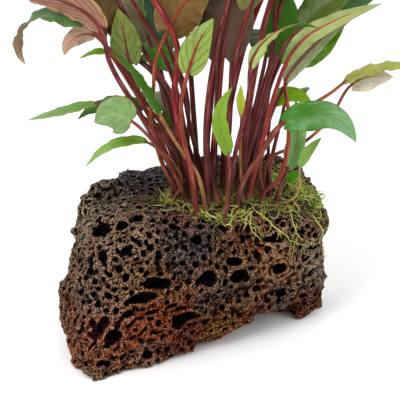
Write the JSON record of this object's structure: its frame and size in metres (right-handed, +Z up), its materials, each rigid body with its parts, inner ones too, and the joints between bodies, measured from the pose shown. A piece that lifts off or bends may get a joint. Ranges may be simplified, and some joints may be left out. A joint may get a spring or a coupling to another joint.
{
  "type": "aquarium plant on lava stone",
  "caption": "Bushy rosette of long-stalked aquarium leaves rooted with moss on top of a rough block of porous lava stone that rests on a flat underside.",
  "frame": {"origin": "on the stone's flat underside, at its middle", "axes": "+X to the right and +Y to the back as seen from the front, +Z up along the leaf stalks"},
  "size_m": [0.2093, 0.1278, 0.2276],
  "materials": {
    "stone": "matte",
    "rootstock": "matte",
    "moss": "matte",
    "root": "satin",
    "leaf_green": "satin",
    "leaf_pale": "satin",
    "leaf_dark": "satin",
    "leaf_rose": "satin"
  },
  "bodies": {
    "root": {"stone": "stone", "rootstock": "rootstock", "moss_left": "moss", "moss_right": "moss", "root_1": "root", "root_2": "root", "root_3": "root", "root_4": "root", "leaf_left_1": "leaf_rose", "leaf_left_2": "leaf_dark", "leaf_left_3": "leaf_rose", "leaf_left_4": "leaf_rose", "leaf_left_5": "leaf_green", "leaf_left_6": "leaf_green", "leaf_left_7": "leaf_dark", "leaf_left_8": "leaf_pale", "leaf_left_9": "leaf_green", "leaf_left_10": "leaf_green", "leaf_left_11": "leaf_dark", "leaf_left_12": "leaf_pale", "leaf_left_13": "leaf_pale", "leaf_left_14": "leaf_dark", "leaf_left_15": "leaf_dark", "leaf_left_16": "leaf_green", "leaf_top_1": "leaf_rose", "leaf_top_2": "leaf_pale", "leaf_top_3": "leaf_rose", "leaf_top_4": "leaf_dark", "leaf_top_5": "leaf_green", "leaf_top_6": "leaf_rose", "leaf_top_7": "leaf_dark", "leaf_top_8": "leaf_green", "leaf_top_9": "leaf_dark", "leaf_top_10": "leaf_green", "leaf_top_11": "leaf_green", "leaf_top_12": "leaf_green", "leaf_front_1": "leaf_green", "leaf_front_2": "leaf_green", "leaf_right_1": "leaf_pale", "leaf_right_2": "leaf_rose", "leaf_right_3": "leaf_pale", "leaf_right_4": "leaf_green", "leaf_right_5": "leaf_dark", "leaf_right_6": "leaf_green", "leaf_right_7": "leaf_rose", "leaf_right_8": "leaf_rose", "leaf_right_9": "leaf_green", "leaf_right_10": "leaf_green", "leaf_right_11": "leaf_pale", "leaf_right_12": "leaf_green", "leaf_right_13": "leaf_green", "leaf_back_1": "leaf_green", "leaf_back_2": "leaf_dark", "leaf_back_3": "leaf_green", "leaf_back_4": "leaf_rose", "leaf_back_5": "leaf_dark", "leaf_back_6": "leaf_green", "leaf_back_7": "leaf_green", "leaf_back_8": "leaf_rose", "leaf_back_9": "leaf_green"}
  },
  "joints": []
}
